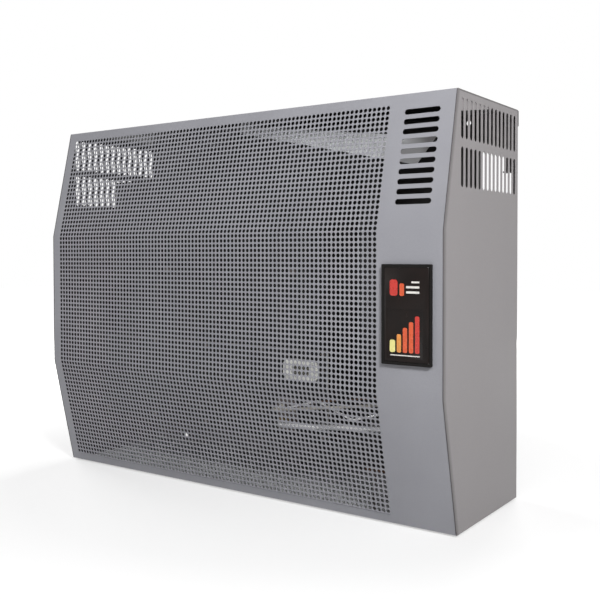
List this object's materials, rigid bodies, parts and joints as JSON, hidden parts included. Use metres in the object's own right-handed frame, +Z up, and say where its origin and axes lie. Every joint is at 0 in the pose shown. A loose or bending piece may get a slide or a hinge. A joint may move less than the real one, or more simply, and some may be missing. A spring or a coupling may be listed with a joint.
{
  "type": "wall mounted gas heater",
  "caption": "Box-shaped wall mounted gas convector heater with a kinked perforated front, slotted sides, a hinged door over its gas control, and a sealed burner chamber with a balanced flue.",
  "frame": {"origin": "centre of the wall bolt pattern, which is the middle of the casing's face in width and height, with y = 0 on the wall's face", "axes": "+X along the heater's width towards the side with the control door, +Y into the wall, so the front faces -Y, and +Z up"},
  "size_m": [0.786, 0.2744, 0.6124],
  "materials": {
    "casing_paint": "silver-grey hammered powder coat, satin",
    "side_paint": "silver-grey powder coat, satin",
    "galvanised": "bright zinc-coated sheet with a faint spangle",
    "dark_sheet": "dark grey heat-proof coat, matt",
    "enamel": "dark glass enamel on steel, low gloss",
    "zinc_screw": "zinc-plated, bright",
    "burner_steel": "bare stainless steel, dull",
    "gasket": "woven ceramic fibre tape",
    "sight_glass": "clear heat-proof mica pane",
    "brass": "turned brass, satin",
    "copper": "copper tube, slightly dulled",
    "ceramic": "white glazed ceramic with a bare wire tip",
    "flue_metal": "aluminised steel, dull",
    "bezel_black": "black moulded plastic, fine texture",
    "door_gloss": "black plastic door with a printed panel of plain bars",
    "pin_steel": "turned steel",
    "valve_cast": "die-cast aluminium, satin",
    "valve_cover": "pale moulded plastic",
    "knob_white": "white moulded plastic with a ribbed rim",
    "button_red": "red moulded plastic",
    "pipe_aluminium": "drawn aluminium tube, satin",
    "pipe_steel": "zinc-plated steel tube",
    "lead_silicone": "pale silicone sleeve over the ignition wire"
  },
  "bodies": {
    "casing": {"front_panel": "casing_paint", "front_mesh_upper": "casing_paint", "front_mesh_middle": "casing_paint", "front_mesh_lower": "casing_paint", "side_panel_right": "side_paint", "side_panel_left": "side_paint", "top_panel": "side_paint", "bottom_panel": "side_paint", "air_deflector": "galvanised", "chamber_brackets": "galvanised", "burner_brackets": "galvanised", "valve_bracket": "galvanised", "pilot_plate": "galvanised", "phial_clips": "galvanised", "air_collar": "galvanised", "back_panel": "dark_sheet", "air_box": "dark_sheet", "wall_rail_upper": "dark_sheet", "wall_rail_lower": "dark_sheet", "hanging_brackets": "dark_sheet", "heat_exchanger": "enamel", "flue_baffle": "enamel", "access_cover": "enamel", "casing_screws": "zinc_screw", "cover_screws": "zinc_screw", "sight_screws": "zinc_screw", "valve_screws": "zinc_screw", "baffle_bolts": "zinc_screw", "sight_frame": "zinc_screw", "burner_tube": "burner_steel", "pilot_burner": "burner_steel", "cover_gasket": "gasket", "sight_glass": "sight_glass", "injector": "brass", "inlet_union": "brass", "thermocouple": "copper", "thermostat_phial": "copper", "spark_electrode": "ceramic", "flue_spigot": "flue_metal", "control_bezel": "bezel_black", "igniter_body": "bezel_black", "door_pins": "pin_steel", "valve_body": "valve_cast", "valve_cover": "valve_cover", "main_pipe": "pipe_aluminium", "pilot_pipe": "pipe_aluminium", "inlet_pipe": "pipe_steel", "ignition_lead": "lead_silicone"},
    "door": {"control_door": "door_gloss"},
    "collar": {"push_collar": "knob_white"},
    "knob": {"control_knob": "knob_white", "valve_spindle": "pin_steel"},
    "igniter_button": {"igniter_button": "button_red"}
  },
  "joints": [
    {"name": "door_hinge", "type": "hinge", "parent": "casing", "child": "door", "pos_m": [0.372, -0.2718, -0.0015], "axis": [0, 0, 1], "range_deg": [0, 90]},
    {"name": "knob_push", "type": "slide", "parent": "casing", "child": "collar", "axis": [0, 1, 0], "range_m": [0, 0.004], "stiffness_N_per_m": 800, "springref_m": -0.002},
    {"name": "knob_turn", "type": "hinge", "parent": "collar", "child": "knob", "pos_m": [0.336, -0.26, 0.012], "axis": [0, -1, 0], "range_deg": [0, 210]},
    {"name": "igniter_push", "type": "slide", "parent": "casing", "child": "igniter_button", "axis": [0, 1, 0], "range_m": [0, 0.005], "stiffness_N_per_m": 1000}
  ]
}
